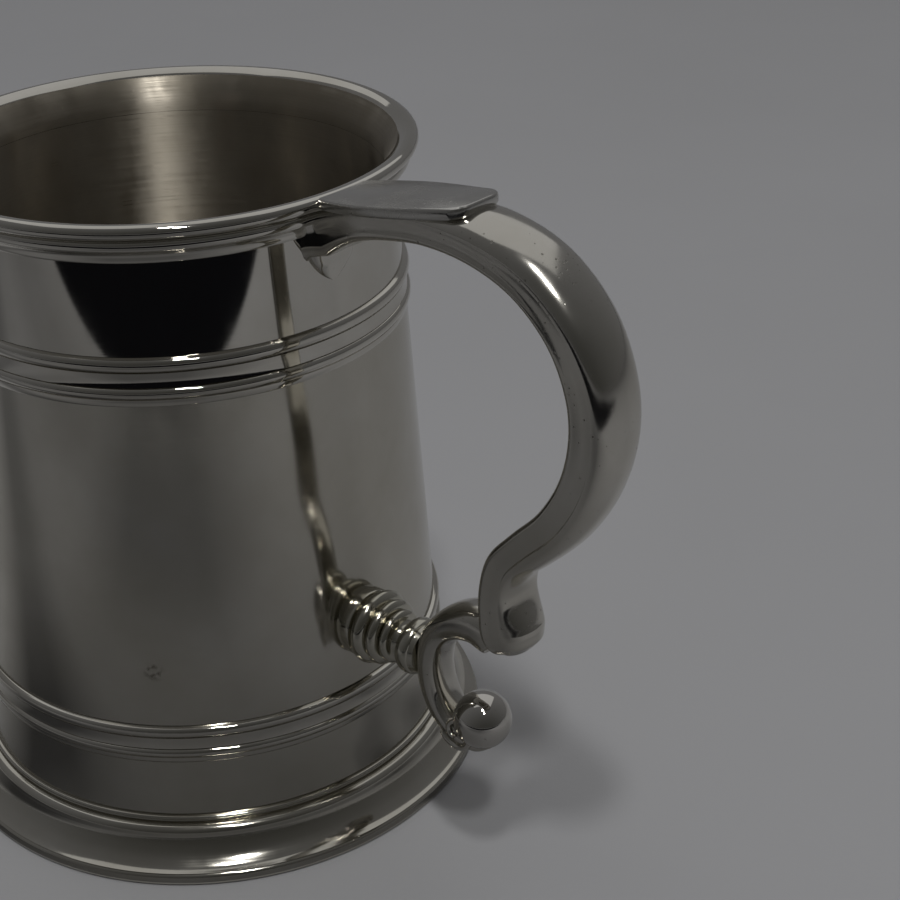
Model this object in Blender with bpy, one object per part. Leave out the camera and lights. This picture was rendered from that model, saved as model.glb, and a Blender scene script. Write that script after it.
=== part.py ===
"""Pewter tankard, one pint: turned body with two reeded bands, moulded rim and foot, and scroll handle.

World frame: metres, +Z up, the foot stands on Z = 0, the handle points along +X, and the XZ plane is the
plane of symmetry. The turning axis is at X = AXIS_X, so that the bounding box is centred on X = 0.
Profiles and outlines below are written in millimetres from the turning axis.
"""

import math

import bpy
import bmesh
from mathutils import Vector

MM = 0.001

# Driving dimensions, millimetres.
HEIGHT = 122.0
GAP = 0.3
BASE_RADIUS = 45.42
WALL_TAPER = 0.0498
WALL_THICKNESS = 1.7
FOOT_RADIUS = 52.4
FOOT_TOP = 10.3
RIM_BOTTOM = 114.7
LIP_RADIUS = 44.07
LIP_ROLL = 1.2
BAND_SEAT_DEPTH = 0.5
BAND_PROUD = 0.66
UPPER_BAND = (90.3, 98.8)
LOWER_BAND = (21.6, 29.1)
FLOOR_TOP = 9.8
FLOOR_THICKNESS = 2.2
LEDGE_RADIUS = 41.0
STRUT_Z = 40.4
BALL_CENTRE = (70.6, 31.4)
BALL_RADIUS = 5.2
PLATE_RISE = 0.165
PLATE_START = 40.6
PLATE_THICKNESS = 1.9
PLATE_TIP = 72.6
PLATE_HALF_WIDTH = 7.3
HANDLE_REACH = 99.93
CUTTER_BORE = 30.0
CUTTER_HEADROOM = 8.0
FLOOR_RADIUS = 42.6
LEAF_TIP = 106.2
LEAF_TOP = 118.5
LEAF_REACH = 3.2
LEAF_HALF_WIDTH = 5.0

TURNED_SEGMENTS = 48
SMALL_SEGMENTS = 24
SMOOTH_ANGLE = math.radians(38)

# The box runs from the foot on the far side to the handle's back.
AXIS_X = -(HANDLE_REACH - FOOT_RADIUS) / 2 * MM


def clear_scene():
    for obj in list(bpy.data.objects):
        bpy.data.objects.remove(obj, do_unlink=True)


def pewter(name, colour, roughness):
    material = bpy.data.materials.new(name)
    material.use_nodes = True
    shader = material.node_tree.nodes["Principled BSDF"]
    shader.inputs["Base Color"].default_value = (*colour, 1.0)
    shader.inputs["Metallic"].default_value = 1.0
    shader.inputs["Roughness"].default_value = roughness
    return material


def arc(centre_r, centre_z, radius, start, end, steps):
    """Points on an arc, with angles in degrees from the outward radius towards +Z."""
    points = []
    for i in range(steps + 1):
        angle = math.radians(start + (end - start) * i / steps)
        points.append((centre_r + radius * math.cos(angle), centre_z + radius * math.sin(angle)))
    return points


def bead(top, bottom, root, proud, steps):
    """A half-round moulding between two heights, as points from its top to its bottom."""
    middle, half = (top + bottom) / 2, (top - bottom) / 2
    points = []
    for i in range(steps + 1):
        angle = math.pi / 2 - math.pi * i / steps
        points.append((root + proud * math.cos(angle), middle + half * math.sin(angle)))
    return points


def wall_radius(z):
    """Outer radius of the plain wall at a height."""
    return BASE_RADIUS - WALL_TAPER * z


def finish_object(name, bm, material, parent):
    bmesh.ops.recalc_face_normals(bm, faces=bm.faces)
    mesh = bpy.data.meshes.new(name)
    bm.to_mesh(mesh)
    bm.free()
    mesh.materials.append(material)
    mesh.shade_smooth()
    mesh.set_sharp_from_angle(angle=SMOOTH_ANGLE)
    obj = bpy.data.objects.new(name, mesh)
    obj.parent = parent
    bpy.context.collection.objects.link(obj)
    return obj


def rings_to_mesh(rings, closed_loop):
    """Joins rings of points, each with the same count, into a skin. Open ends are closed with a face."""
    bm = bmesh.new()
    made = [[bm.verts.new(Vector(p) * MM) for p in ring] for ring in rings]
    count = len(made)
    for i in range(count if closed_loop else count - 1):
        ring, following = made[i], made[(i + 1) % count]
        for j in range(len(ring)):
            k = (j + 1) % len(ring)
            bm.faces.new((ring[j], ring[k], following[k], following[j]))
    if not closed_loop:
        bm.faces.new(made[0])
        bm.faces.new(made[-1])
    return bm


def turned(name, profile, material, parent, segments=TURNED_SEGMENTS):
    """A ring turned about the body's axis from a closed outline of (radius, height) points."""
    rings = []
    for i in range(segments):
        angle = 2 * math.pi * i / segments
        rings.append([(r * math.cos(angle), r * math.sin(angle), z) for r, z in profile])
    return finish_object(name, rings_to_mesh(rings, closed_loop=True), material, parent)


def turned_solid(name, profile, material, parent, along_x=None, segments=SMALL_SEGMENTS):
    """A solid turned from (radius, distance) points along +Z, or along +X at the height along_x."""
    rings = []
    for radius, distance in profile:
        ring = []
        for i in range(segments):
            angle = 2 * math.pi * i / segments
            across, up = radius * math.cos(angle), radius * math.sin(angle)
            if along_x is None:
                ring.append((across, up, distance))
            else:
                ring.append((distance, across, along_x + up))
        rings.append(ring)
    return finish_object(name, rings_to_mesh(rings, closed_loop=False), material, parent)


def smooth_path(stations, steps):
    """Catmull-Rom interpolation of stations, each a tuple of numbers."""
    padded = [stations[0]] + list(stations) + [stations[-1]]
    result = []
    for i in range(1, len(padded) - 2):
        before, start, end, after = padded[i - 1 : i + 3]
        for s in range(steps):
            t = s / steps
            values = []
            for a, b, c, d in zip(before, start, end, after):
                linear = (c - a) * t
                square = (2 * a - 5 * b + 4 * c - d) * t**2
                cube = (3 * b - a - 3 * c + d) * t**3
                values.append((2 * b + linear + square + cube) / 2)
            result.append(tuple(values))
    result.append(tuple(stations[-1]))
    return result


def swept_bar(stations, section, steps):
    """Sweeps a section along the XZ plane. A station is a radius, a height and then the section's sizes."""
    path = smooth_path(stations, steps)
    rings = []
    for i, station in enumerate(path):
        ahead, behind = path[min(i + 1, len(path) - 1)], path[max(i - 1, 0)]
        along = Vector((ahead[0] - behind[0], 0, ahead[1] - behind[1])).normalized()
        outward = Vector((-along.z, 0, along.x))
        middle = Vector((station[0], 0, station[1]))
        outline = section(*station[2:])
        rings.append([middle + outward * up + Vector((0, across, 0)) for across, up in outline])
    return rings_to_mesh(rings, closed_loop=False)


def handle_section(side, half_width, crown):
    """Flat sides, a softly rounded inner face and a high crowned back, as (across, up) points."""
    half = side / 2
    points = [(-half_width * 0.55, -half), (half_width * 0.55, -half)]
    points += [(half_width * 0.93, -half + 0.18 * side), (half_width, -half + 0.36 * side)]
    back = 8
    for i in range(back + 1):
        angle = math.pi * i / back
        points.append((half_width * math.cos(angle), half + crown * math.sin(angle)))
    points += [(-half_width, -half + 0.36 * side), (-half_width * 0.93, -half + 0.18 * side)]
    return points


def strap_section(thickness, half_width):
    """A rounded strap: an oval that is fuller than an ellipse."""
    points = []
    sides = 12
    for i in range(sides):
        angle = 2 * math.pi * i / sides
        c, s = math.cos(angle), math.sin(angle)
        across = math.copysign(abs(c) ** 0.75, c) * half_width
        up = math.copysign(abs(s) ** 0.75, s) * thickness / 2
        points.append((across, up))
    return points


def boolean(obj, other, operation):
    modifier = obj.modifiers.new(operation.lower(), "BOOLEAN")
    modifier.operation = operation
    modifier.object = other
    other.hide_render = True
    other.display_type = "WIRE"


def make_body_wall(material, parent):
    inner_top = wall_radius(RIM_BOTTOM - GAP) - WALL_THICKNESS
    inner_bottom = wall_radius(FOOT_TOP + GAP) - WALL_THICKNESS
    profile = [(wall_radius(RIM_BOTTOM - GAP), RIM_BOTTOM - GAP)]
    for low, high in (UPPER_BAND, LOWER_BAND):
        for z, depth in ((high + GAP, 0), (high + GAP, 1), (low - GAP, 1), (low - GAP, 0)):
            profile.append((wall_radius(z) - depth * BAND_SEAT_DEPTH, z))
    profile.append((wall_radius(FOOT_TOP + GAP), FOOT_TOP + GAP))
    profile += [(inner_bottom, FOOT_TOP + GAP), (inner_top, RIM_BOTTOM - GAP)]
    return turned("body_wall", profile, material, parent)


def make_reed_band(name, band, material, parent):
    """A let-in band: quarter-round and fascia, then a groove, a half-round bead and a thin fillet."""
    low, high = band
    fascia_bottom = low + 0.55 * (high - low)
    bead_bottom = low + 0.12 * (high - low)
    root = wall_radius((low + high) / 2)
    profile = [(wall_radius(high), high)]
    profile += arc(wall_radius(high), high - BAND_PROUD, BAND_PROUD, 50, 0, 2)
    profile += [(root + BAND_PROUD, fascia_bottom + 0.35), (root + 0.2, fascia_bottom + 0.1)]
    profile += bead(fascia_bottom - 0.15, bead_bottom, root + 0.25, BAND_PROUD, 4)
    profile += [(wall_radius(low) + 0.3, bead_bottom - 0.15), (wall_radius(low) + 0.3, low)]
    inner = GAP - BAND_SEAT_DEPTH
    profile += [(wall_radius(low) + inner, low), (wall_radius(high) + inner, high)]
    return turned(name, profile, material, parent)


def make_rim_ring(material, parent):
    inner_wall = wall_radius(RIM_BOTTOM) - WALL_THICKNESS
    profile = arc(LIP_RADIUS - LIP_ROLL, HEIGHT - LIP_ROLL, LIP_ROLL, 90, -60, 6)
    profile += [(42.6, 119.3)]
    profile += bead(119.0, 117.2, 42.2, 0.55, 3)
    profile += [(41.0, 116.5), (40.5, 115.9), (40.25, RIM_BOTTOM)]
    profile += [(inner_wall, RIM_BOTTOM), (38.6, 117.2), (39.7, 119.6), (41.0, 121.2)]
    profile += [(41.95, HEIGHT)]
    return turned("rim_ring", profile, material, parent)


def make_foot_ring(material, parent):
    profile = [(45.25, FOOT_TOP)]
    profile += bead(FOOT_TOP, 9.5, 45.4, 0.5, 3)
    profile += [(45.6, 9.3), (46.3, 9.15)]
    profile += arc(46.0, 7.6, 1.6, 60, 0, 3)
    profile += [(47.9, 6.9), (49.0, 4.9), (50.7, 3.1), (FOOT_RADIUS - 0.1, 2.3)]
    profile += [(FOOT_RADIUS, 1.2), (FOOT_RADIUS - 0.3, 0.25), (FOOT_RADIUS - 0.7, 0.0)]
    profile += [(49.4, 0.0), (49.1, 0.5), (48.7, 1.9), (46.6, 3.9), (44.6, 5.6)]
    ledge = FLOOR_TOP - FLOOR_THICKNESS - GAP
    bore = FLOOR_RADIUS + GAP
    profile += [(LEDGE_RADIUS, ledge - 0.9), (LEDGE_RADIUS, ledge), (bore, ledge), (bore, FOOT_TOP)]
    return turned("foot_ring", profile, material, parent)


def make_base_plate(material, parent):
    low = FLOOR_TOP - FLOOR_THICKNESS
    chamfer = 0.3
    profile = [(FLOOR_RADIUS - chamfer, FLOOR_TOP), (FLOOR_RADIUS, FLOOR_TOP - chamfer)]
    profile += [(FLOOR_RADIUS, low), (0.9 * FLOOR_RADIUS, low)]
    return turned_solid("base_plate", profile[::-1], material, parent, segments=TURNED_SEGMENTS)


def make_fit_cutter(material, parent):
    """The outside of the rim and wall, one gap larger, which shapes what is soldered to the body."""
    bottom, top = 0.0, HEIGHT + CUTTER_HEADROOM
    profile = [
        (CUTTER_BORE, top),
        (LIP_RADIUS + GAP, top),
        (LIP_RADIUS + GAP, HEIGHT - 2.1),
        (43.3 + GAP, 118.9),
        (42.9 + GAP, 117.0),
        (40.7 + GAP, 115.8),
        (wall_radius(115.0) + GAP + 0.2, 114.4),
        (wall_radius(bottom) + GAP, bottom),
        (CUTTER_BORE, bottom),
    ]
    return turned("fit_cutter", profile, material, parent)


def make_handle_scroll(material, parent, cutter):
    stations = [
        (40.6, 116.4, 7.4, 6.8, 0.8),
        (48.0, 118.4, 5.8, 6.4, 1.0),
        (56.5, 120.1, 4.2, 5.9, 1.6),
        (65.0, 120.8, 3.5, 5.8, 2.4),
        (74.6, 120.1, 3.5, 5.95, 3.3),
        (83.4, 117.0, 3.8, 6.0, 3.6),
        (90.3, 110.9, 4.1, 5.9, 3.4),
        (94.0, 103.2, 4.3, 5.6, 3.1),
        (94.8, 95.4, 4.5, 5.5, 2.9),
        (92.8, 86.9, 4.5, 5.3, 2.8),
        (88.4, 79.2, 4.4, 5.2, 2.8),
        (82.3, 72.8, 4.2, 5.1, 2.9),
        (77.9, 67.5, 4.2, 5.0, 2.4),
        (76.2, 61.5, 4.2, 5.0, 2.2),
        (76.2, 55.5, 4.1, 5.1, 3.8),
        (77.0, 51.6, 3.7, 4.5, 4.0),
        (77.8, 49.5, 2.8, 3.1, 2.6),
        (78.2, 48.8, 1.6, 1.6, 1.2),
    ]
    bm = swept_bar(stations, handle_section, 2)
    handle = finish_object("handle_scroll", bm, material, parent)
    leaf = make_root_leaf(material, parent)
    seat = plate_form("plate_seat", GAP, CUTTER_HEADROOM, material, parent)
    boolean(handle, leaf, "UNION")
    boolean(handle, cutter, "DIFFERENCE")
    boolean(handle, seat, "DIFFERENCE")
    return handle


def make_root_leaf(material, parent):
    """The pointed leaf under the handle's root that spreads the joint down the wall."""
    sunk = 2.4
    outside = [(-0.9, 0.35), (-0.5, 0.85), (0, 1), (0.5, 0.85), (0.9, 0.35)]
    rings = []
    rows = 7
    for i in range(rows + 1):
        t = i / rows
        z = LEAF_TIP + (LEAF_TOP - LEAF_TIP) * t
        half_width = LEAF_HALF_WIDTH * math.sin(math.pi / 2 * min(1.0, 0.34 + 1.3 * t))
        stand = 0.5 + LEAF_REACH * t**1.6
        surface = wall_radius(z)
        ring = [(surface - sunk, -half_width, z)]
        for across, up in outside:
            ring.append((surface + up * stand, across * half_width, z))
        ring.append((surface - sunk, half_width, z))
        rings.append(ring)
    return finish_object("root_leaf_form", rings_to_mesh(rings, closed_loop=False), material, parent)


def plate_form(name, grow, headroom, material, parent):
    """The thumb plate, with clipped corners. Grown all round and taller, it cuts its own seat."""
    half, tip = PLATE_HALF_WIDTH + grow, PLATE_TIP + grow
    outline = [(PLATE_START, half - 2.4), (47.0, half - 0.9), (54.0, half), (60.0, half - 0.2)]
    outline += [(65.5, half - 0.9), (tip - 2.3, half - 1.8), (tip - 0.8, half - 2.9), (tip, half - 4.6)]
    outline += [(x, -y) for x, y in reversed(outline)]
    low, high = -PLATE_THICKNESS - grow, headroom
    bevel = 0.35
    free_end = 60.0
    rings = []
    for z, inset in ((low, 0.0), (high - bevel, 0.0), (high, bevel)):
        ring = []
        for x, y in outline:
            surface = HEIGHT + PLATE_RISE * (x - LIP_RADIUS)
            drawn_in = inset if x > free_end else 0.0
            ring.append((x - drawn_in, y - math.copysign(inset, y), surface + z))
        rings.append(ring)
    return finish_object(name, rings_to_mesh(rings, closed_loop=False), material, parent)


def make_thumb_plate(material, parent, cutter):
    """A flat tab that rises a little from the lip and lies in a seat on the handle."""
    plate = plate_form("thumb_plate", 0.0, 0.0, material, parent)
    boolean(plate, cutter, "DIFFERENCE")
    return plate


def make_strut(material, parent, cutter):
    """A turned baluster that holds the lower scroll off the wall."""
    rings = [(45.3, 48.0, 5.5, 1.4), (48.2, 50.4, 5.0, 1.1), (50.5, 52.4, 4.1, 0.9)]
    profile = [(6.2, 41.6), (6.2, 44.9), (5.5, 45.2)]
    for start, end, root, proud in rings:
        middle, half = (start + end) / 2, (end - start) / 2
        for i in range(5):
            angle = math.pi * i / 4
            profile.append((root + proud * math.sin(angle), middle - half * math.cos(angle)))
    profile += [(3.0, 52.8), (2.8, 53.6), (3.4, 54.4)]
    profile += [(4.6, 54.6), (5.2, 55.4), (5.2, 56.6), (4.6, 57.3)]
    strut = turned_solid("strut_baluster", profile, material, parent, along_x=STRUT_Z)
    boolean(strut, cutter, "DIFFERENCE")
    return strut


def make_lower_scroll(material, parent, ball_cutter):
    stations = [
        (73.7, 52.3, 7.2, 3.9),
        (70.3, 51.8, 6.4, 3.9),
        (65.6, 49.9, 5.6, 3.8),
        (61.9, 46.2, 5.0, 3.7),
        (60.1, 41.0, 4.7, 3.7),
        (60.3, 35.6, 4.5, 3.6),
        (62.6, 30.8, 4.2, 3.5),
        (66.4, 28.0, 3.6, 3.3),
        (70.6, 27.4, 2.8, 3.0),
    ]
    bm = swept_bar(stations, strap_section, 3)
    scroll = finish_object("lower_scroll", bm, material, parent)
    boolean(scroll, ball_cutter, "DIFFERENCE")
    return scroll


def make_ball(name, radius, material, parent):
    """A ball at the end of the lower scroll, or the larger one that hollows the scroll to fit it."""
    middle_x, middle_z = BALL_CENTRE
    rings = []
    rows, around = 10, 20
    for i in range(rows):
        angle = math.pi * (i + 0.5) / rows
        height = middle_z - radius * math.cos(angle)
        ring_radius = radius * math.sin(angle)
        ring = []
        for j in range(around):
            turn = 2 * math.pi * j / around
            ring.append((middle_x + ring_radius * math.cos(turn), ring_radius * math.sin(turn), height))
        rings.append(ring)
    return finish_object(name, rings_to_mesh(rings, closed_loop=False), material, parent)


def main():
    clear_scene()
    axis = bpy.data.objects.new("turning_axis", None)
    axis.location = (AXIS_X, 0, 0)
    bpy.context.collection.objects.link(axis)
    satin = pewter("satin_pewter", (0.46, 0.45, 0.42), 0.24)
    polished = pewter("polished_pewter", (0.55, 0.54, 0.51), 0.08)
    cast = pewter("cast_pewter", (0.50, 0.49, 0.46), 0.14)

    make_body_wall(satin, axis)
    make_rim_ring(polished, axis)
    make_reed_band("upper_reed_band", UPPER_BAND, polished, axis)
    make_reed_band("lower_reed_band", LOWER_BAND, polished, axis)
    make_foot_ring(satin, axis)
    make_base_plate(satin, axis)
    cutter = make_fit_cutter(satin, axis)
    make_handle_scroll(cast, axis, cutter)
    make_thumb_plate(cast, axis, cutter)
    make_strut(cast, axis, cutter)
    ball_cutter = make_ball("ball_cutter", BALL_RADIUS + GAP, polished, axis)
    make_lower_scroll(cast, axis, ball_cutter)
    make_ball("ball_finial", BALL_RADIUS, polished, axis)


main()
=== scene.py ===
"""Looks of the pewter tankard: fine meshes, pewter finishes, floor, lights and camera.

Lengths in the shapes are millimetres from the turning axis. The mesh tools put them in the frame, in metres.
"""

import math

import bmesh
import bpy
from mathutils import Matrix, Vector


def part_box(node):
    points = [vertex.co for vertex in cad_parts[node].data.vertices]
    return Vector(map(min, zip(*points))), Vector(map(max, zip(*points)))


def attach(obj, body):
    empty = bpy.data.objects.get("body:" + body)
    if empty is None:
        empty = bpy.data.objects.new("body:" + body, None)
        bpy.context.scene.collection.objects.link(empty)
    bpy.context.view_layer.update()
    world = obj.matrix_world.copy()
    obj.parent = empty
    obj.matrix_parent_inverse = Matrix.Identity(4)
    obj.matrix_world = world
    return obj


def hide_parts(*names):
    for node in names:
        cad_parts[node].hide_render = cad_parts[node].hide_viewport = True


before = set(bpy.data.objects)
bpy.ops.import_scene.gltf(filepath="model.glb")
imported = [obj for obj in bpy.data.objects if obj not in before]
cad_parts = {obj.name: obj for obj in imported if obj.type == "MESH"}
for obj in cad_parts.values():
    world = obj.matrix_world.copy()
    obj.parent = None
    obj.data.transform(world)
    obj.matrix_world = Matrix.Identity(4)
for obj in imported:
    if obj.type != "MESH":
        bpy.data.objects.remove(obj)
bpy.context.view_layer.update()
MM = 0.001


def middle_of(node):
    low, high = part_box(node)
    return (low + high) / 2


# Levels and radii read from the frame, in millimetres.
AXIS_X = middle_of("body_wall").x
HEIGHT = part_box("rim_ring")[1].z / MM
RIM_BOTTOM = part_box("rim_ring")[0].z / MM
LIP_RADIUS = (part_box("rim_ring")[1].x - AXIS_X) / MM
FOOT_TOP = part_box("foot_ring")[1].z / MM
FOOT_RADIUS = (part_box("foot_ring")[1].x - AXIS_X) / MM
UPPER_BAND = tuple(corner.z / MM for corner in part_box("upper_reed_band"))
LOWER_BAND = tuple(corner.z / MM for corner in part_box("lower_reed_band"))
FLOOR_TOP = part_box("base_plate")[1].z / MM
FLOOR_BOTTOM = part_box("base_plate")[0].z / MM
FLOOR_RADIUS = (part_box("base_plate")[1].x - AXIS_X) / MM
BALL_R = (middle_of("ball_finial").x - AXIS_X) / MM
BALL_Z = middle_of("ball_finial").z / MM
BALL_RADIUS = (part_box("ball_finial")[1].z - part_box("ball_finial")[0].z) / 2 / MM
STRUT_Z = middle_of("strut_baluster").z / MM
STRUT_END = (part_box("strut_baluster")[1].x - AXIS_X) / MM
PLATE_TIP = (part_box("thumb_plate")[1].x - AXIS_X) / MM
PLATE_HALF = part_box("thumb_plate")[1].y / MM

# The plain wall's straight taper, from the radius at its foot.
WALL_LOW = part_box("body_wall")[0].z / MM
WALL_BASE = (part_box("body_wall")[1].x - AXIS_X) / MM
WALL_TAPER = 0.0498
WALL_THICKNESS = 1.7
SEAT_DEPTH = 0.5
SEAM = 0.05
INSIDE_MARGIN = 1.2  # faces this far inside the wall's outer face belong to the cup's inside
THROAT_RADIUS = 40.5  # the lip's inner face has the inside's finish up to this radius
ROUND = 192  # segments round a turned piece


def wall_radius(z):
    return WALL_BASE - WALL_TAPER * (z - WALL_LOW)


# ---------------------------------------------------------------- mesh tools


def add_object(name, bm, material, nodes, body="root", sharp=None):
    bmesh.ops.recalc_face_normals(bm, faces=bm.faces)
    mesh = bpy.data.meshes.new(name)
    bm.to_mesh(mesh)
    bm.free()
    mesh.materials.append(material)
    mesh.shade_smooth()
    if sharp is not None:
        mesh.set_sharp_from_angle(angle=math.radians(sharp))
    obj = bpy.data.objects.new(name, mesh)
    bpy.context.scene.collection.objects.link(obj)
    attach(obj, body)
    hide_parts(*nodes)
    return obj


def skin(rings, closed_loop):
    """A skin over rings of points in millimetres from the turning axis. Open ends are closed with a face."""
    bm = bmesh.new()
    made = [[bm.verts.new(Vector(p) * MM + Vector((AXIS_X, 0, 0))) for p in ring] for ring in rings]
    count = len(made)
    for i in range(count if closed_loop else count - 1):
        ring, following = made[i], made[(i + 1) % count]
        for j in range(len(ring)):
            k = (j + 1) % len(ring)
            bm.faces.new((ring[j], ring[k], following[k], following[j]))
    if not closed_loop:
        bm.faces.new(made[0])
        bm.faces.new(made[-1])
    return bm


def turned(profile):
    """A ring turned round the vertical axis from a closed outline of (radius, height) points."""
    rings = []
    for i in range(ROUND):
        angle = 2 * math.pi * i / ROUND
        rings.append([(r * math.cos(angle), r * math.sin(angle), z) for r, z in profile])
    return skin(rings, closed_loop=True)


def turned_solid(profile, place, segments):
    """A solid turned from (radius, distance) points. place puts (distance, across, up) in the world."""
    rings = []
    for radius, distance in profile:
        ring = []
        for i in range(segments):
            angle = 2 * math.pi * i / segments
            ring.append(place(distance, radius * math.cos(angle), radius * math.sin(angle)))
        rings.append(ring)
    return skin(rings, closed_loop=False)


def arc(centre_r, centre_z, radius, start, end, steps):
    """Points of an arc between two angles in degrees."""
    points = []
    for i in range(steps + 1):
        angle = math.radians(start + (end - start) * i / steps)
        points.append((centre_r + radius * math.cos(angle), centre_z + radius * math.sin(angle)))
    return points


def bead(top, bottom, root, proud, steps=10):
    """A half-round moulding between two heights, proud of the root radius at its middle."""
    centre, half = (top + bottom) / 2, (top - bottom) / 2
    points = []
    for i in range(steps + 1):
        angle = math.pi / 2 - math.pi * i / steps
        points.append((root + proud * math.cos(angle), centre + half * math.sin(angle)))
    return points


def smooth(stations, steps):
    """Catmull-Rom interpolation of stations, each a tuple of numbers."""
    padded = [stations[0]] + list(stations) + [stations[-1]]
    result = []
    for i in range(1, len(padded) - 2):
        before, start, end, after = padded[i - 1 : i + 3]
        for s in range(steps):
            t = s / steps
            values = []
            for a, b, c, d in zip(before, start, end, after):
                cubic = (3 * b - a - 3 * c + d) * t**3
                values.append(0.5 * (2 * b + (c - a) * t + (2 * a - 5 * b + 4 * c - d) * t**2 + cubic))
            result.append(tuple(values))
    result.append(tuple(stations[-1]))
    return result


def sweep_rings(stations, section, steps):
    """Sections along a path in the XZ plane. A station is x, z and what the section asks for."""
    path = smooth(stations, steps)
    rings = []
    for i, station in enumerate(path):
        ahead, behind = path[min(i + 1, len(path) - 1)], path[max(i - 1, 0)]
        along = Vector((ahead[0] - behind[0], 0, ahead[1] - behind[1])).normalized()
        outward = Vector((-along.z, 0, along.x))
        centre = Vector((station[0], 0, station[1]))
        rings.append([centre + outward * up + Vector((0, across, 0)) for across, up in section(*station[2:])])
    return rings


# ---------------------------------------------------------------- materials


class Shader:
    """A small helper that builds one node material."""

    def __init__(self, name):
        self.material = bpy.data.materials.new(name)
        self.material.use_nodes = True
        self.tree = self.material.node_tree
        self.surface = self.tree.nodes["Principled BSDF"]
        self.coords = self.tree.nodes.new("ShaderNodeTexCoord").outputs["Object"]

    def node(self, kind, inputs=None, **settings):
        node = self.tree.nodes.new(kind)
        for key, value in settings.items():
            setattr(node, key, value)
        for key, value in (inputs or {}).items():
            self.put(value, node.inputs[key])
        return node

    def put(self, value, socket):
        if isinstance(value, bpy.types.NodeSocket):
            self.tree.links.new(value, socket)
        else:
            socket.default_value = value

    def noise(self, scale, detail=2.0, roughness=0.5, stretch=(1, 1, 1)):
        place = self.node("ShaderNodeMapping", {"Vector": self.coords, "Scale": stretch})
        found = self.node(
            "ShaderNodeTexNoise",
            {"Vector": place.outputs[0], "Scale": scale, "Detail": detail, "Roughness": roughness},
        )
        return found.outputs["Fac"]

    def span(self, value, low, high, to_low=0.0, to_high=1.0):
        found = self.node(
            "ShaderNodeMapRange",
            {"Value": value, "From Min": low, "From Max": high, "To Min": to_low, "To Max": to_high},
            clamp=True,
        )
        return found.outputs[0]

    def math(self, operation, a, b):
        return self.node("ShaderNodeMath", {0: a, 1: b}, operation=operation).outputs[0]

    def mix(self, factor, a, b):
        found = self.node("ShaderNodeMix", data_type="RGBA")
        self.put(factor, found.inputs[0])
        self.put(a, found.inputs[6])
        self.put(b, found.inputs[7])
        return found.outputs[2]

    def bump(self, height, distance, under=None):
        found = self.node("ShaderNodeBump", {"Height": height, "Strength": 1.0, "Distance": distance})
        if under is not None:
            self.put(under, found.inputs["Normal"])
        return found.outputs[0]


# How fine the marks are: cells per metre of the pits and the stains.
PIT_SCALE = 1150.0
STAIN_SCALE = 60.0
PIT_COLOUR = (0.09, 0.08, 0.065, 1.0)
STAIN_COLOUR = (0.16, 0.14, 0.11, 1.0)
PIT_DEPTH = 0.012


def pewter(
    name,
    tone,
    rough,
    lines=0.0,
    line_stretch=(1, 1, 1),
    pits=0.0,
    stains=0.0,
    anisotropy=0.0,
    ripple=0.0,
):
    """Pewter with cloudy handling marks, and lines, pits, stains and ripples as strong as asked."""
    s = Shader(name)
    clouds = s.noise(38, 5, 0.6)
    smears = s.noise(130, 3, 0.55, (1, 1, 0.35))
    bright = (*tone, 1.0)
    dull = (tone[0] * 0.86, tone[1] * 0.85, tone[2] * 0.82, 1.0)
    colour = s.mix(s.span(clouds, 0.35, 0.68), bright, dull)
    wear = s.math("MULTIPLY", s.span(smears, 0.35, 0.7, 0.75, 1.35), s.span(clouds, 0.3, 0.7, 0.8, 1.25))
    roughness = s.math("MULTIPLY", wear, rough)
    normal = None
    if lines:
        fine = s.noise(1.0, 3, 0.7, line_stretch)
        roughness = s.math("MULTIPLY", roughness, s.span(fine, 0.3, 0.7, 0.8, 1.25))
        normal = s.bump(fine, lines * MM)
    if ripple:
        normal = s.bump(s.noise(55, 1, 0.4), ripple * MM, under=normal)
    if pits:
        spots = s.node("ShaderNodeTexVoronoi", {"Vector": s.coords, "Scale": PIT_SCALE, "Randomness": 1.0})
        chance = s.node("ShaderNodeSeparateColor", {"Color": spots.outputs["Color"]}).outputs[0]
        size = s.span(chance, 0.45, 1.0, 0.0, 0.30)
        hole = s.span(s.math("SUBTRACT", size, spots.outputs["Distance"]), 0.0, 0.12)
        patchy = s.math("MULTIPLY", hole, s.span(s.noise(60, 2), 0.38, 0.58))
        colour = s.mix(s.math("MULTIPLY", patchy, pits), colour, PIT_COLOUR)
        normal = s.bump(patchy, -PIT_DEPTH * MM, under=normal)
        roughness = s.math("ADD", roughness, s.math("MULTIPLY", patchy, 0.25))
    if stains:
        cells = s.node("ShaderNodeTexVoronoi", {"Vector": s.coords, "Scale": STAIN_SCALE})
        rare = s.node("ShaderNodeSeparateColor", {"Color": cells.outputs["Color"]}).outputs[1]
        blot = s.math("SUBTRACT", s.span(rare, 0.76, 1.0, 0.0, 0.24), cells.outputs["Distance"])
        blot = s.math("MULTIPLY", s.span(blot, 0.0, 0.1), s.span(s.noise(900, 3), 0.45, 0.6))
        colour = s.mix(s.math("MULTIPLY", blot, stains), colour, STAIN_COLOUR)
        roughness = s.math("ADD", roughness, s.math("MULTIPLY", blot, 0.2))
    s.put(colour, s.surface.inputs["Base Color"])
    s.put(roughness, s.surface.inputs["Roughness"])
    s.surface.inputs["Metallic"].default_value = 1.0
    if normal is not None:
        s.put(normal, s.surface.inputs["Normal"])
    if anisotropy:
        s.surface.inputs["Anisotropic"].default_value = anisotropy
        s.surface.inputs["Anisotropic Rotation"].default_value = 0.25
        around = s.node("ShaderNodeTangent", direction_type="RADIAL", axis="Z")
        s.put(around.outputs[0], s.surface.inputs["Tangent"])
    return s.material


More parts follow.
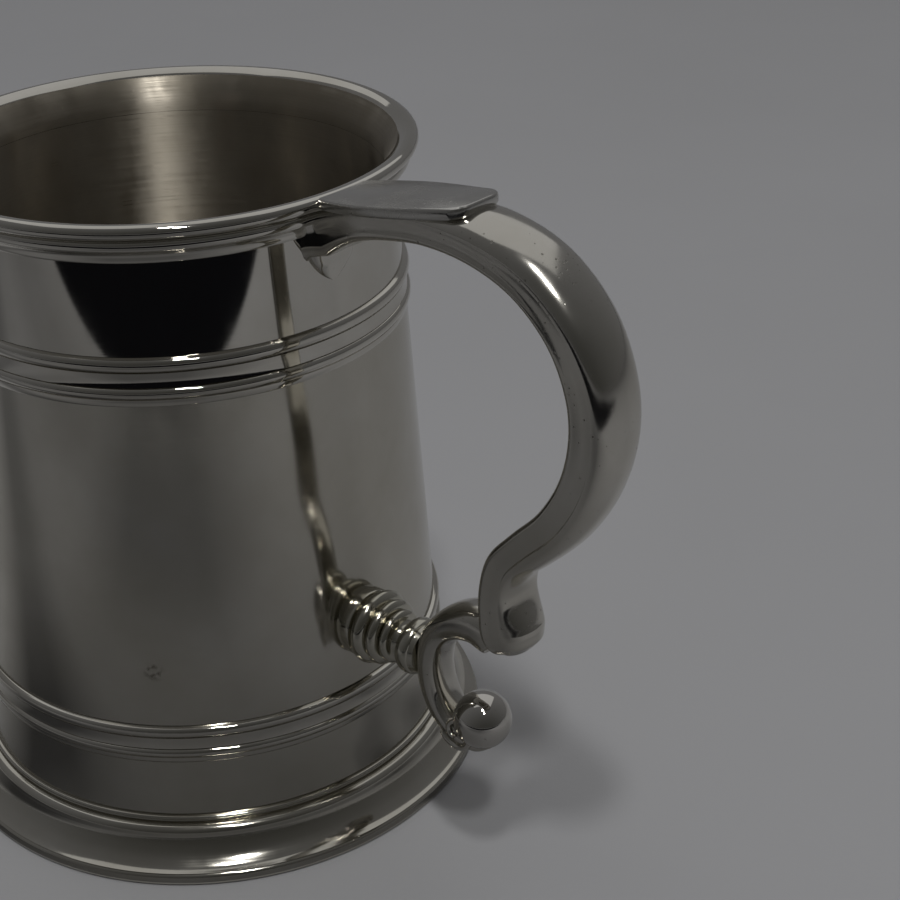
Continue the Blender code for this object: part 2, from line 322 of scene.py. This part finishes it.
# Turning lines run round the body, so the noise is stretched along them and fine along Z.
ROUND_LINES = (7, 7, 4200)
SPUN_GRAIN = (900, 900, 900)
FILED_LINES = (300, 2600, 300)
BODY_TONE = (0.55, 0.53, 0.475)
SATIN = pewter(
    "satin_wall", BODY_TONE, 0.12, lines=0.0012, line_stretch=ROUND_LINES, stains=0.8, ripple=0.012
)
INSIDE = pewter(
    "spun_inside", (0.49, 0.445, 0.37), 0.47, lines=0.001, line_stretch=ROUND_LINES, anisotropy=1.0
)
POLISHED = pewter("polished_moulding", (0.62, 0.60, 0.55), 0.045, lines=0.0006, line_stretch=ROUND_LINES)
FOOT = pewter("turned_foot", BODY_TONE, 0.10, lines=0.001, line_stretch=ROUND_LINES, stains=0.5)
BASE = pewter("spun_base", (0.50, 0.48, 0.43), 0.25, lines=0.003, line_stretch=SPUN_GRAIN, anisotropy=0.6)
CAST = pewter("cast_handle", (0.60, 0.58, 0.53), 0.15, pits=0.6, ripple=0.03)
PLATE = pewter("filed_plate", (0.58, 0.57, 0.54), 0.20, lines=0.001, line_stretch=FILED_LINES, pits=0.3)
STRUT = pewter("turned_strut", (0.53, 0.51, 0.44), 0.15, pits=0.5)
BALL = pewter("polished_ball", (0.62, 0.60, 0.56), 0.05, pits=0.25, ripple=0.01)


# ---------------------------------------------------------------- the body


def make_body():
    """The wall, with its two seats. The outside and the inside get their own finish."""
    top, bottom = RIM_BOTTOM - SEAM, FOOT_TOP + SEAM
    outer = [(wall_radius(top), top)]
    for low, high in (UPPER_BAND, LOWER_BAND):
        seat_top, seat_low = high + SEAM, low - SEAM
        outer += [(wall_radius(seat_top), seat_top), (wall_radius(seat_top) - SEAT_DEPTH, seat_top)]
        outer += [(wall_radius(seat_low) - SEAT_DEPTH, seat_low), (wall_radius(seat_low), seat_low)]
    outer += [(wall_radius(bottom + 3.0), bottom + 3.0), (wall_radius(bottom) + 0.15, bottom)]
    inner_low, inner_top = wall_radius(bottom) - WALL_THICKNESS, wall_radius(top) - WALL_THICKNESS
    inner = [(inner_low, bottom), (inner_low, bottom + 0.3), (inner_top, top - 0.3), (inner_top, top)]
    bm = turned(outer + inner)
    wall = add_object("tankard_wall", bm, SATIN, ["body_wall"], sharp=30)
    wall.data.materials.append(INSIDE)
    wall.data.materials.append(POLISHED)
    for face in wall.data.polygons:
        centre = face.center - Vector((AXIS_X, 0, 0))
        outward = Vector((centre.x, centre.y, 0)).normalized()
        inside = (wall_radius(centre.z / MM) - INSIDE_MARGIN) * MM
        if face.normal.dot(outward) < -0.5 and centre.xy.length < inside:
            face.material_index = 1
        elif centre.z / MM > UPPER_BAND[0]:
            face.material_index = 2


def band_profile(band):
    """A reed, a broad hollow fascia, a second reed and a thin fillet, from the top down."""
    low, high = band
    scale = (high - low) / 8.5
    root = wall_radius((low + high) / 2) + 0.05
    fascia = root + 0.42
    profile = [(wall_radius(high) + 0.1, high)]
    profile += bead(high - 0.15 * scale, high - 2.5 * scale, root + 0.1, 0.72, 14)
    profile += [(fascia - 0.05, high - 2.6 * scale), (fascia - 0.1, high - 3.4 * scale)]
    profile += [(fascia - 0.1, high - 4.4 * scale), (fascia, high - 5.1 * scale)]
    profile += bead(high - 5.2 * scale, high - 7.2 * scale, root + 0.2, 0.75, 14)
    profile += [(root + 0.42, high - 7.35 * scale), (root + 0.45, low + 0.2), (root + 0.3, low)]
    inner = SEAM - SEAT_DEPTH
    return profile + [(wall_radius(low) + inner, low), (wall_radius(high) + inner, high)]


def make_bands():
    for name, band, node in (
        ("reeding_upper", UPPER_BAND, "upper_reed_band"),
        ("reeding_lower", LOWER_BAND, "lower_reed_band"),
    ):
        add_object(name, turned(band_profile(band)), POLISHED, [node], sharp=40)


def make_rim():
    """The moulded lip: a rolled edge, a groove, a half-round and a cove that runs into the neck."""
    inner_wall = wall_radius(RIM_BOTTOM) - WALL_THICKNESS
    roll = 1.2
    profile = arc(LIP_RADIUS - roll, HEIGHT - roll, roll, 90, -70, 20)
    profile += [(42.75, 119.5), (42.6, 119.3)]
    profile += bead(119.15, 117.3, 42.2, 0.5, 10)
    profile += [(41.9, 117.15)]
    profile += arc(42.0, 115.3, 1.75, 100, 180, 8)
    profile += [(40.2, RIM_BOTTOM + 0.1), (40.1, RIM_BOTTOM)]
    profile += [(inner_wall, RIM_BOTTOM)]
    throat = [(inner_wall - 0.03, 115.6), (inner_wall + 0.2, 117.0), (39.2, 119.3)]
    profile += smooth(throat + [(40.7, 121.2), (42.0, HEIGHT - 0.06)], 6)
    rim = add_object("rim_moulding", turned(profile), POLISHED, ["rim_ring"], sharp=42)
    rim.data.materials.append(INSIDE)
    for face in rim.data.polygons:
        centre = face.center - Vector((AXIS_X, 0, 0))
        outward = Vector((centre.x, centre.y, 0)).normalized()
        if face.normal.dot(outward) < -0.3 and centre.xy.length < THROAT_RADIUS * MM:
            face.material_index = 1


def make_foot():
    """The flared foot: an astragal and groove, an ovolo, a long cove and a rounded rest."""
    profile = bead(FOOT_TOP, 9.5, 45.35, 0.5, 8)
    profile += [(45.5, 9.35), (45.6, 9.2), (46.3, 9.1)]
    profile += arc(46.2, 7.6, 1.5, 80, 0, 8)
    cove = [(47.75, 7.35), (48.3, 6.0), (49.4, 4.4), (50.9, 3.15), (FOOT_RADIUS - 0.35, 2.6)]
    profile += smooth(cove, 5)
    profile += arc(FOOT_RADIUS - 0.9, 1.5, 0.9, 60, 0, 6)
    profile += arc(FOOT_RADIUS - 0.8, 0.8, 0.8, 0, -90, 6)
    profile += [(49.4, 0.0), (49.1, 0.4)]
    profile += smooth([(48.9, 1.2), (48.0, 2.9), (46.6, 4.3), (44.6, 5.6), (41.0, 6.4)], 3)
    ledge, bore = FLOOR_BOTTOM - 0.1, FLOOR_RADIUS + 0.2
    profile += [(41.0, ledge), (bore, ledge), (bore, FOOT_TOP)]
    add_object("foot_moulding", turned(profile), FOOT, ["foot_ring"], sharp=42)


def make_base():
    """The bottom of the cup, with the rings and the centre dimple that spinning leaves, above and below."""
    rings = 26
    top, under = [], []
    for i in range(rings + 1):
        r = 0.6 + (FLOOR_RADIUS - 1.6) * i / rings
        wave = 0.05 * math.cos(i * math.pi)
        top.append((r, FLOOR_TOP - 0.15 + wave * 0.6 + 0.1 * (i == rings)))
        under.append((r, FLOOR_BOTTOM + 0.25 + wave))
    profile = [(0.3, FLOOR_BOTTOM + 0.45)] + under
    profile += [(FLOOR_RADIUS - 0.3, FLOOR_BOTTOM), (FLOOR_RADIUS, FLOOR_BOTTOM + 0.3)]
    profile += arc(FLOOR_RADIUS - 0.5, FLOOR_TOP - 0.5, 0.5, 0, 90, 4)
    profile += top[::-1] + [(0.3, FLOOR_TOP - 0.35)]
    bm = turned_solid(profile, lambda distance, across, up: (across, up, distance), ROUND)
    add_object("spun_bottom", bm, BASE, ["base_plate"], sharp=35)


# ---------------------------------------------------------------- the handle


INNER_POINTS = 7
INNER_SHARE = 0.74
BACK_STEPS = 26
CROWN_FULLNESS = 0.92


def handle_section(side, half, crown):
    """Flat sides with a slight bead near the inner face, and a crowned back, as (across, up) points."""
    points = []
    for i in range(INNER_POINTS):
        across = half * INNER_SHARE * (-1 + 2 * i / (INNER_POINTS - 1))
        hollow = 0.02 * side * (1 - abs(across / half)) ** 2
        points.append((across, -side / 2 + hollow))
    edge = [(0.86, -0.485), (0.945, -0.42), (0.985, -0.33), (0.995, -0.24)]
    edge += [(0.965, -0.16), (0.955, 0.15), (0.93, 0.38), (0.92, 0.46)]
    points += [(half * x, side * z) for x, z in edge]
    for i in range(BACK_STEPS + 1):
        angle = math.pi * i / BACK_STEPS
        full = abs(math.sin(angle)) ** CROWN_FULLNESS
        points.append((half * math.cos(angle), side / 2 + 0.1 + crown * full))
    points += [(-half * x, side * z) for x, z in reversed(edge)]
    return points


def body_radius(z):
    """A radius inside the metal of the wall and the rim at a height, where the handle's root ends."""
    return wall_radius(min(z, RIM_BOTTOM)) - 0.5 + 0.42 * max(0.0, z - RIM_BOTTOM)


def make_handle():
    """The handle, from its flared root at the lip to the rounded bulb. Stations: x, z, side, half, crown."""
    stations = [
        (42.6, 116.2, 8.6, 5.8, 0.7),
        (44.4, 116.9, 7.6, 5.9, 0.8),
        (47.6, 118.1, 6.2, 6.0, 0.9),
        (51.4, 119.2, 5.1, 6.0, 1.2),
        (56.5, 120.1, 4.3, 5.9, 1.5),
        (65.0, 120.9, 3.6, 5.8, 2.3),
        (74.6, 120.1, 3.5, 5.95, 3.3),
        (83.4, 117.0, 3.8, 6.0, 3.6),
        (90.3, 110.9, 4.1, 5.9, 3.4),
        (94.0, 103.2, 4.4, 5.65, 3.1),
        (94.8, 95.4, 4.6, 5.5, 2.9),
        (92.8, 86.9, 4.6, 5.3, 2.8),
        (88.4, 79.2, 4.5, 5.2, 2.8),
        (82.3, 72.8, 4.3, 5.1, 2.9),
        (77.9, 67.5, 4.3, 5.0, 2.1),
        (76.2, 61.5, 4.3, 5.0, 1.5),
        (76.2, 55.5, 4.2, 5.15, 3.8),
        (76.5, 53.2, 4.1, 5.1, 4.1),
        (76.9, 51.6, 3.8, 4.8, 3.9),
        (77.2, 50.5, 3.4, 4.2, 3.6),
        (77.5, 49.6, 2.6, 3.3, 2.8),
        (77.7, 49.0, 1.7, 2.1, 1.8),
        (77.8, 48.7, 0.8, 1.0, 0.8),
    ]
    rings = sweep_rings(stations, handle_section, 6)
    centre = sum(point.z for point in rings[0]) / len(rings[0])
    lowest = min(point.z for point in rings[0])
    root, fillet = [], []
    for point in rings[0]:
        drop = max(0.0, (centre - point.z) / (centre - lowest))
        radius = body_radius(point.z)
        meeting = math.sqrt(radius**2 - point.y**2)
        root.append(Vector((meeting, point.y * 1.08, point.z - 2.6 * drop)))
        fillet.append(Vector((meeting + 1.3, point.y * 1.03, point.z - 1.1 * drop)))
    bm = skin([root, fillet] + rings, closed_loop=False)
    add_object("scroll_handle", bm, CAST, ["handle_scroll"], sharp=50)


def make_root_leaf():
    """A small leaf under the handle's root: it runs down the wall and rises into the handle's underside."""
    tip, top = 106.0, 116.2
    rows, columns = 26, 20
    rings = []
    for i in range(rows + 1):
        t = i / rows
        z = tip + (top - tip) * t
        half = 5.1 * math.sin(math.pi / 2 * min(1.0, 0.02 + 1.55 * t)) ** 0.62
        half += 1.6 * max(0.0, t - 0.6)
        stand = 0.4 + 1.5 * min(1.0, 3 * t) + 4.0 * max(0.0, t - 0.25) ** 1.9
        surface = wall_radius(z)
        ring = []
        for j in range(columns + 1):
            angle = math.pi * j / columns
            y = -half * math.cos(angle)
            lift = stand * math.sin(angle) ** 0.6 * (1 - 0.18 * math.sin(angle) ** 6)
            base = math.sqrt(surface**2 - y * y)
            ring.append((base - 0.25 + lift, y, z - 0.35 * math.sin(angle) * (1 - t)))
        ring += [(surface - 1.2, half * 0.6, z), (surface - 1.2, -half * 0.6, z)]
        rings.append(ring)
    add_object("handle_root_leaf", skin(rings, closed_loop=False), CAST, [], sharp=60)


def make_thumb_plate():
    """The flat thumb rest, which rises a little from the lip to a tip with rounded corners."""
    rise, start, thick = 0.165, 42.4, 1.9
    half, tip = PLATE_HALF, PLATE_TIP
    side = [(start, half - 2.2), (47.0, half - 0.9), (54.0, half), (60.0, half - 0.2), (65.5, half - 0.9)]
    side = smooth(side, 5)
    corner = arc(tip - 3.6, half - 5.0, 3.6, 68, 0, 9)
    outline = side + corner
    outline = outline + [(x, -y) for x, y in reversed(outline)]
    layers = [(-thick, 0.45), (-thick + 0.12, 0.16), (-thick + 0.45, 0.0)]
    layers += [(-0.5, 0.0), (-0.2, 0.1), (-0.05, 0.26), (0.0, 0.5)]
    rings = []
    for height, inset in layers:
        ring = []
        for x, y in outline:
            shrink = inset if x > tip - 6 else 0.0
            scale = (half - inset) / half
            ring.append((x - shrink, y * scale, HEIGHT + rise * (x - LIP_RADIUS) + height))
        rings.append(ring)
    add_object("thumb_rest", skin(rings, closed_loop=False), PLATE, ["thumb_plate"], sharp=28)


def make_strut():
    """The turned strut between the wall and the bracket: a flange, three rings, a neck and a collar."""
    start = wall_radius(STRUT_Z) - 1.0
    profile = [(6.3, start), (6.35, start + 1.9), (6.2, start + 2.3), (5.5, start + 2.55)]
    three_rings = ((45.0, 48.1, 4.9, 1.98), (48.1, 50.4, 4.4, 1.7), (50.4, 52.4, 3.5, 1.5))
    for first, last, root, proud in three_rings:
        centre, half = (first + last) / 2, (last - first) / 2
        for i in range(11):
            angle = math.pi * i / 10
            profile.append((root + proud * math.sin(angle), centre - half * math.cos(angle)))
    profile += [(3.3, 52.6), (2.85, 53.2), (2.8, 53.8), (3.3, 54.3), (4.4, 54.5)]
    for i in range(9):
        angle = math.pi * i / 8
        profile.append((4.55 + 0.65 * math.sin(angle), 55.95 - 1.35 * math.cos(angle)))
    profile += [(4.2, STRUT_END + 0.9)]
    bm = turned_solid(profile, lambda distance, across, up: (distance, across, STRUT_Z + up), 72)
    add_object("strut_turning", bm, STRUT, ["strut_baluster"], sharp=45)


def strap_section(thickness, half):
    """A strap's section, a rounded box that is the same on both faces, as (across, up) points."""
    points = []
    sides = 36
    boxiness = 0.72
    for i in range(sides):
        angle = 2 * math.pi * i / sides
        c, s = math.cos(angle), math.sin(angle)
        across = math.copysign(abs(c) ** boxiness, c) * half
        up = math.copysign(abs(s) ** boxiness, s) * thickness / 2
        points.append((across, up))
    return points


def make_lower_scroll():
    """The C-shaped bracket, from the handle to the ball. Stations: x, z, thickness, half."""
    stations = [
        (76.0, 49.9, 4.0, 2.8),
        (74.6, 50.9, 7.4, 3.9),
        (70.4, 51.6, 6.9, 4.0),
        (65.6, 49.8, 5.8, 3.9),
        (61.9, 46.2, 5.1, 3.8),
        (60.1, 41.0, 4.7, 3.7),
        (60.3, 35.6, 4.5, 3.6),
        (62.4, 30.9, 4.2, 3.6),
        (66.0, 27.9, 3.5, 3.5),
        (70.6, 26.9, 2.2, 3.2),
        (73.8, 28.3, 1.0, 2.6),
    ]
    rings = sweep_rings(stations, strap_section, 8)
    bracket = skin(rings, closed_loop=False)
    add_object("lower_bracket", bracket, CAST, ["lower_scroll"], sharp=60)


def make_volute():
    """The small curl on each flank where the bracket's end rolls up round the ball."""
    turns, steps, sides = 1.15, 46, 10
    start = math.radians(205)
    for name, side in (("volute_near", -1), ("volute_far", 1)):
        rings = []
        for i in range(steps + 1):
            t = i / steps
            angle = start + 2 * math.pi * turns * t
            radius = 3.7 - 2.6 * t
            x = BALL_R - 3.0 + radius * math.cos(angle)
            z = BALL_Z - 2.0 + radius * math.sin(angle)
            centre = Vector((x, side * (3.2 + 0.7 * t), z))
            outward = Vector((math.cos(angle), 0, math.sin(angle)))
            size = 0.75 * (1 - 0.35 * t)
            ring = []
            for j in range(sides):
                turn = 2 * math.pi * j / sides
                flank = Vector((0, size * math.sin(turn), 0))
                ring.append(centre + outward * size * math.cos(turn) + flank)
            rings.append(ring)
        add_object(name, skin(rings, closed_loop=False), CAST, [], sharp=60)


def make_ball():
    """The ball, very slightly fuller on the bracket's side."""
    rows, around = 40, 64
    fullness = 0.03
    axis = Vector((0.94, 0, 0.34)).normalized()
    up = Vector((0, 1, 0))
    side = axis.cross(up)
    rings = []
    for i in range(1, rows):
        angle = math.pi * i / rows
        along = -math.cos(angle)
        radius = BALL_RADIUS * math.sin(angle) * (1 + fullness * max(0.0, -along))
        ring = []
        for j in range(around):
            turn = 2 * math.pi * j / around
            centre = Vector((BALL_R, 0, BALL_Z)) + axis * BALL_RADIUS * along
            ring.append(centre + (up * math.cos(turn) + side * math.sin(turn)) * radius)
        rings.append(ring)
    add_object("end_ball", skin(rings, closed_loop=False), BALL, ["ball_finial"], sharp=60)


# ---------------------------------------------------------------- the stage

CAMERA_TURN = math.radians(-38.7)
CAMERA_DISTANCE = 0.30258
CAMERA_HEIGHT = 0.21880
LOOK_RIGHT = math.radians(9.12)
LOOK_DOWN = math.radians(28.14)
ROLL = math.radians(-1.59)
LENS = 71.66
SENSOR_WIDTH = 36
CARD_LEVEL = 0.0008  # metres above the floor
CARD_SLANT = math.radians(-10)
CARD_SIZE = (1.6, 1.0)
LIGHT_TARGET = Vector((0, 0, 0.06))
towards_camera = Vector((math.cos(CAMERA_TURN), math.sin(CAMERA_TURN), 0))
to_the_right = Vector((-math.sin(CAMERA_TURN), math.cos(CAMERA_TURN), 0))


def make_camera():
    """A long lens above and in front, looking past the tankard's right side, where the handle is."""
    ahead = -towards_camera * math.cos(LOOK_RIGHT) + to_the_right * math.sin(LOOK_RIGHT)
    forward = ahead * math.cos(LOOK_DOWN) - Vector((0, 0, math.sin(LOOK_DOWN)))
    right = forward.cross(Vector((0, 0, 1))).normalized()
    up = right.cross(forward)
    turned_right = right * math.cos(ROLL) + up * math.sin(ROLL)
    turned_up = up * math.cos(ROLL) - right * math.sin(ROLL)
    data = bpy.data.cameras.new("camera")
    data.lens = LENS
    data.sensor_width = SENSOR_WIDTH
    camera = bpy.data.objects.new("camera", data)
    place = Vector((AXIS_X, 0, CAMERA_HEIGHT)) + towards_camera * CAMERA_DISTANCE
    facing = Matrix((turned_right, turned_up, -forward)).transposed().to_4x4()
    camera.matrix_world = Matrix.Translation(place) @ facing
    bpy.context.scene.collection.objects.link(camera)
    bpy.context.scene.camera = camera


def make_floor():
    """A plain grey floor with faint broad patches and a fine tooth."""
    s = Shader("floor_paper")
    patches = s.span(s.noise(6, 4, 0.5), 0.3, 0.7)
    grey = s.mix(patches, (0.50, 0.50, 0.512, 1), (0.475, 0.475, 0.485, 1))
    s.put(grey, s.surface.inputs["Base Color"])
    s.surface.inputs["Roughness"].default_value = 0.9
    s.put(s.bump(s.noise(700, 4, 0.6), 0.00004), s.surface.inputs["Normal"])
    bpy.ops.mesh.primitive_plane_add(size=8, location=(0, 0, 0))
    floor = bpy.context.object
    floor.name = "studio_floor"
    floor.data.materials.append(s.material)


def make_painted_shade_card():
    """A dark card in front that only reflections see: painted shade and a painted dark reflection in the
    metal.

    Beyond its edge it stands for the dim, unlit room. Nearer the tankard it paints shade into the floor's
    reflection, by amounts tuned until the metal's tones looked right. Its own X runs to the camera's right,
    and Y towards the camera.
    """
    s = Shader("painted_reflection_shade")
    place = s.node("ShaderNodeSeparateXYZ", {"Vector": s.coords})
    across, away = place.outputs[0], place.outputs[1]
    # Painted dark reflection: past this edge the card stands for the unlit room.
    edge = s.span(away, 0.288, 0.291)
    # Painted shade: these bands darken the floor's reflection near the foot, in the middle and at the left
    # front.
    foot_shade = s.span(away, 0.05, 0.12, 0.56, 0.46)
    middle = s.math("MINIMUM", s.span(away, 0.11, 0.17), s.span(away, 0.28, 0.22))
    shade = s.math("ADD", foot_shade, s.math("MULTIPLY", middle, 0.20))
    left_front = s.math("MULTIPLY", s.span(across, -0.01, -0.05), s.span(away, 0.08, 0.05))
    shade = s.math("ADD", shade, s.math("MULTIPLY", left_front, 0.30))
    right_fade = s.span(across, 0.03, 0.17, 1.0, 0.12)
    left_fade = s.span(across, -0.07, -0.14, 1.0, 0.62)
    sides = s.math("MULTIPLY", right_fade, left_fade)
    near = s.math("MULTIPLY", shade, s.math("MULTIPLY", sides, s.span(away, 0.0, 0.03)))
    clear = s.node("ShaderNodeBsdfTransparent")
    # The near-black emission that paints the shade the metal reflects.
    dark = s.node("ShaderNodeEmission", {"Color": (0.004, 0.004, 0.005, 1), "Strength": 1.0})
    cover = s.math("MAXIMUM", edge, near)
    mixed = s.node("ShaderNodeMixShader", {0: cover, 1: clear.outputs[0], 2: dark.outputs[0]})
    output = s.tree.nodes["Material Output"]
    s.tree.links.new(mixed.outputs[0], output.inputs["Surface"])
    bpy.ops.mesh.primitive_plane_add(size=1)
    card = bpy.context.object
    card.name = "painted_shade_card"
    width, depth = CARD_SIZE
    card.data.transform(Matrix.Translation((0, depth / 2, 0)) @ Matrix.Diagonal((width, depth, 1, 1)))
    turn = Matrix((to_the_right, towards_camera, Vector((0, 0, 1)))).transposed().to_4x4()
    slant = Matrix.Rotation(CARD_SLANT, 4, "Z")
    card.matrix_world = Matrix.Translation((AXIS_X, 0, CARD_LEVEL)) @ slant @ turn
    card.data.materials.append(s.material)
    card.visible_camera = False
    card.visible_diffuse = False
    card.visible_shadow = False


def area_light(name, azimuth, elevation, distance, size, power):
    """A softbox, placed by its direction from the tankard. The azimuth counts from the camera's side."""
    light = bpy.data.lights.new(name, "AREA")
    light.shape = "RECTANGLE"
    light.size, light.size_y = size
    light.energy = power
    obj = bpy.data.objects.new(name, light)
    turn, lift = CAMERA_TURN + math.radians(azimuth), math.radians(elevation)
    direction = Vector((math.cos(turn) * math.cos(lift), math.sin(turn) * math.cos(lift), math.sin(lift)))
    centre = Vector((AXIS_X, 0, 0)) + LIGHT_TARGET
    obj.location = centre + direction * distance
    obj.rotation_euler = direction.to_track_quat("Z", "Y").to_euler()
    bpy.context.scene.collection.objects.link(obj)


def make_world():
    """A dim room: a soft grey ceiling that is lighter behind the tankard than in front of it."""
    world = bpy.data.worlds.new("dim_room")
    bpy.context.scene.world = world
    world.use_nodes = True
    tree = world.node_tree
    background = tree.nodes["Background"]
    coords = tree.nodes.new("ShaderNodeTexCoord")
    split = tree.nodes.new("ShaderNodeVectorMath")
    split.operation = "DOT_PRODUCT"
    split.inputs[1].default_value = -towards_camera + Vector((0, 0, 0.35))
    tree.links.new(coords.outputs["Generated"], split.inputs[0])
    ramp = tree.nodes.new("ShaderNodeValToRGB")
    ramp.color_ramp.elements[0].position = 0.0
    ramp.color_ramp.elements[0].color = (0.048, 0.048, 0.046, 1)
    ramp.color_ramp.elements[1].position = 0.9
    ramp.color_ramp.elements[1].color = (0.15, 0.15, 0.155, 1)
    shifted = tree.nodes.new("ShaderNodeMapRange")
    shifted.inputs["From Min"].default_value = -0.9
    shifted.inputs["From Max"].default_value = 1.0
    tree.links.new(split.outputs["Value"], shifted.inputs["Value"])
    tree.links.new(shifted.outputs[0], ramp.inputs[0])
    tree.links.new(ramp.outputs[0], background.inputs["Color"])


make_camera()
make_body()
make_bands()
make_rim()
make_foot()
make_base()
make_handle()
make_root_leaf()
make_thumb_plate()
make_strut()
make_lower_scroll()
make_volute()
make_ball()
make_floor()
# Painted shade that only the metal's reflections see.
make_painted_shade_card()
make_world()
area_light("window_left", -5, 68, 1.5, (0.10, 0.14), 3.2)
area_light("window_right", 4, 56, 1.5, (0.10, 0.14), 3.2)
area_light("soft_top", 170, 62, 1.8, (2.3, 2.3), 5.6)
bpy.context.scene.view_settings.view_transform = "Standard"

bpy.context.view_layer.update()
